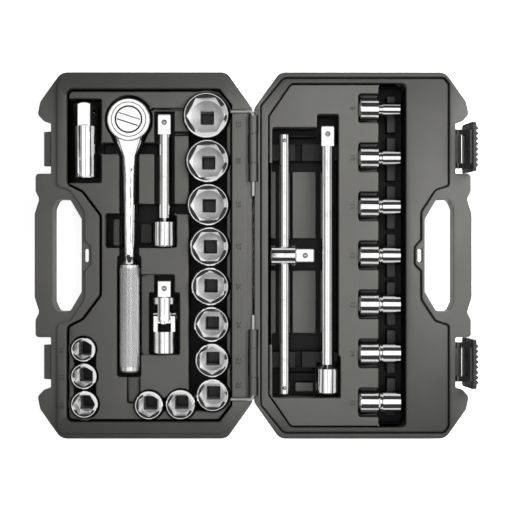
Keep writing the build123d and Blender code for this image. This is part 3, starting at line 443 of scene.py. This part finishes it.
def softened(name, look):
    work = bmesh.new()
    work.from_mesh(nodes[name].data)
    bmesh.ops.remove_doubles(work, verts=work.verts, dist=2e-6)
    for face in work.faces:
        face.material_index = 0
    if look["rim"]:
        roundRims(work, look)
    if name == "ratchet_body":
        crownNeck(work)
    for face in work.faces:
        face.smooth = True
    for edge in work.edges:
        onRim = all(face.material_index for face in edge.link_faces)
        sharp = rimShape["sharp"] if onRim else look["sharp"]
        edge.smooth = edge.calc_face_angle(0.0) < math.radians(sharp)
    mesh = bpy.data.meshes.new(name + "Work")
    work.to_mesh(mesh)
    work.free()
    return mesh


def evened(name, mesh):  # flats shade flat right up to their rims
    thing = bpy.data.objects.new(name + "Work", mesh)
    bpy.context.collection.objects.link(thing)
    flats = thing.modifiers.new("flats", "WEIGHTED_NORMAL")
    flats.keep_sharp = True
    return plainMesh(thing, name + "Shape")


# levels and places of the painted shade on the case plastic
pocketLook = {"top": 0.0384, "floor": 0.0190, "back": 0.0020, "fall": 2.2,
              "lidNear": 0.0136, "lidFar": 0.1434, "lidEnd": 0.1614,
              "baseNear": 0.0194, "baseFar": 0.1750, "baseEnd": 0.1558,
              "holeHalf": 0.066, "holeWall": 0.1445, "holeFlat": 0.037, "holeSlope": 0.75,
              "pad": (0.0200, 0.0212), "padShade": 0.97,
              "rib": (0.0193, 0.0196), "ribShade": 0.5, "ribFrom": 0.1270,
              "grooves": (0.0343, 0.0358, 0.0392), "grooveNear": 0.00005,
              "hingeReach": 0.0047, "hingeTop": 0.0440, "hingeDark": 0.0032, "hingeFade": 0.0013,
              "gapReach": 0.0017, "gapTop": 0.0437, "endFrom": 0.1500, "endTop": 0.0405, "endShade": 0.52}


def inTray(point):
    look = pocketLook
    away = abs(point.y)
    if point.x > 0:
        return look["lidNear"] < point.x < look["lidFar"] and away < look["lidEnd"]
    reach = look["baseFar"]
    if away < look["holeHalf"]:  # the tray's wall round the hand hole
        reach = look["holeWall"] + max(0.0, away - look["holeFlat"]) * look["holeSlope"]
    return look["baseNear"] < -point.x < reach and away < look["baseEnd"]


# painted shade: the plastic gets darker with depth in the pockets, black on groove floors and hinge-gap
# walls, darker at the end rims and the knuckles' sides, and dark along wall feet
def shadePockets(mesh):
    look = pocketLook
    shade = mesh.attributes.new("pocketShade", "FLOAT", "POINT")
    dark = mesh.attributes["dark"]
    for index, vertex in enumerate(mesh.vertices):
        x, y, z = vertex.co
        level = 1.0
        if inTray(vertex.co) and look["back"] < z < look["top"]:
            level = max(0.0, (z - look["floor"]) / (look["top"] - look["floor"])) ** look["fall"]
            # painted shade levels of their own for the lid's low blocks and ribs
            if look["pad"][0] < z < look["pad"][1] and x > 0:
                level = look["padShade"]
            if look["rib"][0] < z < look["rib"][1] and x > look["ribFrom"]:
                level = look["ribShade"]
        # painted shade: groove floors go black
        if min(abs(z - depth) for depth in look["grooves"]) < look["grooveNear"]:
            level = 0.0
        # painted shade: the end rims are darker, standing in for the light falling off toward the ends
        if abs(y) > look["endFrom"] and z > look["endTop"]:
            level = look["endShade"]
        if abs(x) < look["hingeReach"] and z > look["hingeTop"]:  # painted shade on the sides of the knuckles
            level = min(1.0, max(0.0, (look["hingeDark"] - abs(x)) / look["hingeFade"]))
        # painted shade: the walls of the hinge gap go black
        if abs(x) < look["gapReach"] and look["back"] < z < look["gapTop"]:
            level = 0.0
        shade.data[index].value = level * (1 - dark.data[index].value)


socketLook = {"mouth": 0.0030, "depth": 0.0080, "steep": 0.2, "flat": 0.95}


def insideSocket(mesh, name):  # the broached faces get a satin finish
    look = socketLook
    low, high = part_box(name)
    middle = (low + high) / 2
    along = Vector((1, 0, 0)) if middle.x > 0 else Vector((0, 0, 1))  # the lid's sockets lie
    for face in mesh.polygons:
        off = face.center - middle
        out = (off - along * off.dot(along)).normalized()
        below = high.z - face.center.z
        mouth = below < look["mouth"] and look["steep"] < face.normal.z < look["flat"]  # stays bright
        floor = face.normal.z > look["flat"] and below > look["depth"]
        if (out.dot(face.normal) < -look["steep"] and not mouth) or (floor and along.z):
            face.material_index = 1


dialLook = {"slant": (0.4, 0.95), "groove": (0.0018, 0.0030)}


def ratchetLines(mesh, name):  # painted shade: slanted edges and groove floors take a near-black steel
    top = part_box(name)[1].z
    for face in mesh.polygons:
        slanted = dialLook["slant"][0] < face.normal.z < dialLook["slant"][1]
        inGroove = dialLook["groove"][0] < top - face.center.z < dialLook["groove"][1]
        if slanted or (inGroove and name == "ratchet_dial"):
            face.material_index = 1


for name in sorted(nodes):
    slot = nodeSlot[name]
    mesh = softened(name, softening[slot])
    mesh.materials.clear()
    mesh.materials.append(finish[slot])
    if slot == "case_plastic":
        mesh.materials.append(edgeHighlightPlastic)
        shadePockets(mesh)
    if name.startswith("socket_"):
        mesh.materials.append(satinSteel)
        insideSocket(mesh, name)
    if name == "ratchet_body":
        mesh.materials.append(gripSteel)
        for face in mesh.polygons:
            face.material_index = 1 if face.center.y < neck["gripFrom"] else 0
    if name in ("ratchet_dial", "ratchet_cover"):
        mesh.materials.append(grooveShadeSteel)
        ratchetLines(mesh, name)
    addPiece(name + "Finished", evened(name, mesh), nodeBody[name], slot, name)
print("CAD shapes softened:", len(nodes))


def startTree(name, inputs):
    tree = bpy.data.node_groups.new(name, "GeometryNodeTree")
    tree.interface.new_socket("Geometry", in_out="OUTPUT", socket_type="NodeSocketGeometry")
    for label, kind in inputs.items():
        tree.interface.new_socket(label, in_out="INPUT", socket_type="NodeSocket" + kind)
    given = tree.nodes.new("NodeGroupInput")
    return Wire(tree), {socket.name: Wire(tree, socket) for socket in given.outputs if socket.name}


def endTree(start, copies, material):  # real faces with their finish
    whole = start.node("GeometryNodeRealizeInstances", values={"Geometry": copies})
    coated = start.node("GeometryNodeSetMaterial", values={"Geometry": whole, "Material": material})
    last = start.tree.nodes.new("NodeGroupOutput")
    start.tree.links.new(coated.socket, last.inputs[0])
    return start.tree


# knurled grip of the ratchet
knurl = {"x": -0.1168, "z": 0.031, "top": -0.0125, "length": 0.0915, "radius": 0.00926, "around": 34,
         "height": 0.00038, "lengthen": 1.5}


def knurlTree(material):
    start, size = startTree("gripKnurl", {"Radius": "Float", "Length": "Float", "Height": "Float",
                                          "Lengthen": "Float", "Around": "Int", "Rows": "Int"})
    points = start.node("GeometryNodePoints", values={"Count": size["Around"] * size["Rows"]})
    index = start.node("GeometryNodeInputIndex")
    row = index.maths("FLOOR", index.maths("DIVIDE", index + 0.5, size["Around"]))
    column = index - row * size["Around"] + row.maths("MODULO", row, 2.0) * 0.5
    turn = column.maths("DIVIDE", column * math.tau, size["Around"])
    along = row.maths("DIVIDE", row * size["Length"], size["Rows"] - 1)
    side = turn.maths("SINE", turn) * size["Radius"]
    up = turn.maths("COSINE", turn) * size["Radius"]
    place = start.node("ShaderNodeCombineXYZ", values={0: side, 1: 0 - along, 2: up})
    laid = start.node("GeometryNodeSetPosition", values={"Geometry": points, "Position": place})
    half = turn.maths("DIVIDE", size["Radius"] * math.pi, size["Around"])
    stud = start.node("GeometryNodeMeshCone", {"fill_type": "NGON"},
                      {"Vertices": 4, "Radius Top": half * 0.12, "Radius Bottom": half,
                       "Depth": size["Height"]})
    lean = start.node("ShaderNodeCombineXYZ", values={1: turn})
    scale = start.node("ShaderNodeCombineXYZ", values={0: 1.0, 1: size["Lengthen"], 2: 1.0})
    spread = {"Points": laid, "Instance": stud, "Rotation": lean, "Scale": scale}
    return endTree(start, start.node("GeometryNodeInstanceOnPoints", values=spread), material)


def makeKnurl():
    mesh = bpy.data.meshes.new("gripKnurlStart")
    thing = bpy.data.objects.new("gripKnurlStart", mesh)
    bpy.context.collection.objects.link(thing)
    modifier = thing.modifiers.new("knurl", "NODES")
    modifier.node_group = knurlTree(gripSteel)
    pitch = math.tau * knurl["radius"] / knurl["around"]
    rows = int(knurl["length"] / (pitch / 2 * knurl["lengthen"]))
    wanted = {"Radius": knurl["radius"], "Length": knurl["length"], "Height": knurl["height"],
              "Lengthen": knurl["lengthen"], "Around": knurl["around"], "Rows": rows}
    setInputs(modifier, wanted)
    made = plainMesh(thing, "gripKnurl")
    made.transform(Matrix.Translation((knurl["x"], knurl["top"], knurl["z"])))
    addPiece("gripKnurl", made, "ratchet", "chrome")
    print("knurl rows:", rows, "faces:", len(made.polygons))


makeKnurl()


# moulded squares below the upright sockets
pads = {"side": 0.0112, "rise": 0.0006, "sink": 0.0003, "taper": 0.92, "shade": 0.42,
        "under": (32, 30, 29, 27, 26, 24, 23, 22, 20, 19, 18, 17, 16)}


def padTree(material):
    start, size = startTree("socketPads", {"Places": "Geometry", "Side": "Float", "Rise": "Float",
                                           "Taper": "Float"})
    reach = size["Side"] * math.sqrt(0.5)
    pad = start.node("GeometryNodeMeshCone", {"fill_type": "NGON"},
                     {"Vertices": 4, "Radius Top": reach * size["Taper"], "Radius Bottom": reach,
                      "Depth": size["Rise"]})
    spread = {"Points": size["Places"], "Instance": pad, "Rotation": (0, 0, math.pi / 4)}
    return endTree(start, start.node("GeometryNodeInstanceOnPoints", values=spread), material)


def makePads():
    places = []
    for size in pads["under"]:
        low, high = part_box("socket_%02d" % size)
        places.append(((low.x + high.x) / 2, (low.y + high.y) / 2, low.z - pads["sink"]))
    mesh = bpy.data.meshes.new("socketPadPlaces")
    mesh.from_pydata(places, [], [])
    thing = bpy.data.objects.new("socketPadPlaces", mesh)
    bpy.context.collection.objects.link(thing)
    modifier = thing.modifiers.new("pads", "NODES")
    modifier.node_group = padTree(finish["case_plastic"])
    setInputs(modifier, {"Side": pads["side"], "Rise": pads["rise"], "Taper": pads["taper"]})
    made = plainMesh(thing, "socketPads")
    # painted shade: the pads are drawn at 0.42 of the plastic's tone, for the shade deep under the sockets
    shadeAll(made, pads["shade"])
    addPiece("socketPads", made, "base", "case_plastic")
    print("pads:", len(places))


makePads()


# size marks moulded beside the pockets
marks = {"height": 0.0062, "rise": 0.00022, "shade": 0.3, "lipZ": 0.0453, "trayZ": 0.0388,
         "columnX": -0.0140, "column": (32, 30, 29, 27, 26, 24, 23, 22),
         "stackX": -0.1785, "stack": (16, 17, 18),
         "lidX": 0.0930, "lid": (8, 10, 11, 12, 13, 14, 15),
         "clear": {32: -0.009, 22: 0.010}}  # these move off the hinge wires' legs
markPlaces = {"base": [(size, marks["columnX"], marks["lipZ"]) for size in marks["column"]]
              + [(size, marks["stackX"], marks["lipZ"]) for size in marks["stack"]],
              "lid": [(size, marks["lidX"], marks["trayZ"]) for size in marks["lid"]]}


def markMesh(text, place):
    curve = bpy.data.curves.new("mark" + text, "FONT")
    curve.body = text
    curve.size = marks["height"]
    curve.extrude = marks["rise"]
    curve.align_x = "CENTER"
    curve.align_y = "CENTER"
    thing = bpy.data.objects.new("mark" + text, curve)
    bpy.context.collection.objects.link(thing)
    made = plainMesh(thing, "mark" + text)
    made.transform(Matrix.Translation(place) @ Matrix.Rotation(-math.pi / 2, 4, "Z"))
    return made


def makeMarks(body):
    work = bmesh.new()
    for size, x, z in markPlaces[body]:
        low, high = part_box("socket_%02d" % size)
        y = (low.y + high.y) / 2 + marks["clear"].get(size, 0.0)
        work.from_mesh(markMesh(str(size), Vector((x, y, z))))
    mesh = bpy.data.meshes.new(body + "Marks")
    work.to_mesh(mesh)
    work.free()
    mesh.materials.append(finish["case_plastic"])
    shadeAll(mesh, marks["shade"])
    addPiece(body + "SizeMarks", mesh, body, "case_plastic")
    print(body, "size marks:", len(markPlaces[body]))


makeMarks("base")
makeMarks("lid")


# floor, light and camera
studio = {"floorTone": 0.90, "floorGlow": 0.85, "floorDrop": 0.0003, "glowReach": 0.9,
          "coveTone": 0.42, "coveGlow": 0.68, "coveRadius": 2.6, "coveHeight": 1.25, "coveBend": 0.7,
          "coveRise": (0.02, 0.5), "bendSteps": 8, "sides": 64,
          "gapX": 0.012, "gapY": 0.138, "gapFade": 0.004, "air": 0.05, "panelHeight": 1.5}
# the panels only show in the chrome, and the fills only light the plastic and the floor
panels = {"nearLeft": {"x": (-0.90, -0.05), "y": (-0.62, 0.62), "glow": 1.25},
          "nearRight": {"x": (0.05, 0.90), "y": (-0.62, 0.62), "glow": 1.35},
          "farLeft": {"x": (-1.50, -0.97), "y": (-0.5, 0.5), "glow": 0.45},
          "farRight": {"x": (0.97, 1.50), "y": (-0.5, 0.5), "glow": 0.7},
          "outerLeft": {"x": (-3.1, -2.2), "y": (-0.62, 0.62), "glow": 0.55},
          "outerRight": {"x": (2.2, 3.1), "y": (-0.62, 0.62), "glow": 0.65}}
fills = {"above": {"at": (0.05, 0.0, 0.44), "size": (0.62, 0.18), "glow": 1.9, "spread": 110},
         "right": {"at": (0.42, 0.20, 0.34), "size": (0.3, 0.3), "glow": 15.0, "spread": 180}}
viewFrom = {"place": (0.0026, -0.0005, 0.944), "angle": 29.7, "nearest": 0.01}


def floorFinish():
    material, shader, place = startMaterial("paleFloor", Roughness=0.9, Emission_Strength=studio["floorGlow"])
    across = place.node("ShaderNodeSeparateXYZ", values={"Vector": place})
    deep = Wire(across.tree, across.socket.node.outputs["Y"])
    high = Wire(across.tree, across.socket.node.outputs["Z"])
    tone = high.between(*studio["coveRise"]).blend(grey(studio["floorTone"]), grey(studio["coveTone"]))
    cloud = grain(place, 6.0).between(0.0, 0.2)
    feed(cloud.blend(grey(studio["floorTone"] * 0.98), tone), shader, "Base Color")
    wide = across.maths("ABSOLUTE", across).between(studio["gapX"], studio["gapX"] + studio["gapFade"])
    tall = across.maths("ABSOLUTE", deep).between(studio["gapY"], studio["gapY"] + studio["gapFade"])
    gap = (1 - wide) * (1 - tall)
    away = across.maths("SQRT", across * across + deep * deep)
    faded = away.between(studio["glowReach"], studio["coveRadius"]) * (1 - studio["coveGlow"])
    lit = (1 - gap) * (1 - faded)
    feed(lit.blend(grey(0.0), grey(1.0)), shader, "Emission Color")  # painted shadow: no glow below the hinge gap, so the floor there looks dark
    return material


def makeFloor():  # a round floor that bends up into a low wall
    radius = studio["coveRadius"]
    bend = studio["coveBend"]
    steps = studio["bendSteps"]
    sides = studio["sides"]
    shape = [(0.0, 0.0), (radius - bend, 0.0)]
    for step in range(1, steps + 1):
        turn = math.pi / 2 * step / steps
        shape.append((radius + bend * (math.sin(turn) - 1), bend * (1 - math.cos(turn))))
    shape.append((radius, studio["coveHeight"]))
    corners = []
    faces = []
    for ring, (reach, z) in enumerate(shape):
        for k in range(sides):
            turn = math.tau * k / sides
            corners.append((reach * math.cos(turn), reach * math.sin(turn), z - studio["floorDrop"]))
            if ring:
                low = (ring - 1) * sides
                ahead = (k + 1) % sides
                faces.append((low + k, low + ahead, low + sides + ahead, low + sides + k))
    mesh = bpy.data.meshes.new("paleCove")
    mesh.from_pydata(corners, [], faces)
    work = bmesh.new()
    work.from_mesh(mesh)
    bmesh.ops.remove_doubles(work, verts=work.verts, dist=1e-6)
    bmesh.ops.reverse_faces(work, faces=work.faces)
    work.to_mesh(mesh)
    work.free()
    mesh.materials.append(floorFinish())
    for face in mesh.polygons:
        face.use_smooth = True
    floor = bpy.data.objects.new("paleCove", mesh)
    bpy.context.collection.objects.link(floor)


def addPanel(name, place, size, glow, aim):
    panel = bpy.data.lights.new(name + "Panel", "AREA")
    panel.shape = "RECTANGLE"
    panel.size = size[0]
    panel.size_y = size[1]
    panel.energy = glow * size[0] * size[1] * math.pi
    thing = bpy.data.objects.new(name + "Panel", panel)
    thing.location = place
    thing.rotation_euler = aim.to_track_quat("-Z", "Y").to_euler()
    thing.visible_camera = False
    bpy.context.collection.objects.link(thing)
    return thing


def makeLight():
    world = bpy.data.worlds.new("studioAir")
    bpy.context.scene.world = world
    world.use_nodes = True
    air = world.node_tree.nodes["Background"]
    air.inputs["Color"].default_value = (1, 1, 1, 1)
    air.inputs["Strength"].default_value = studio["air"]
    for name, look in panels.items():
        size = (look["x"][1] - look["x"][0], look["y"][1] - look["y"][0])
        place = (sum(look["x"]) / 2, sum(look["y"]) / 2, studio["panelHeight"])
        panel = addPanel(name, place, size, look["glow"], Vector((0, 0, -1)))
        panel.visible_diffuse = False
    for name, look in fills.items():
        fill = addPanel(name, look["at"], look["size"], look["glow"], -Vector(look["at"]))
        fill.data.spread = math.radians(look["spread"])
        fill.visible_glossy = False


def makeCamera():
    lens = bpy.data.cameras.new("aboveCamera")
    lens.sensor_fit = "HORIZONTAL"
    lens.angle = math.radians(viewFrom["angle"])
    lens.clip_start = viewFrom["nearest"]
    camera = bpy.data.objects.new("aboveCamera", lens)
    camera.location = viewFrom["place"]
    bpy.context.collection.objects.link(camera)
    bpy.context.scene.camera = camera
    bpy.context.scene.view_settings.view_transform = "Standard"


makeFloor()
makeLight()
makeCamera()
print("studio set")
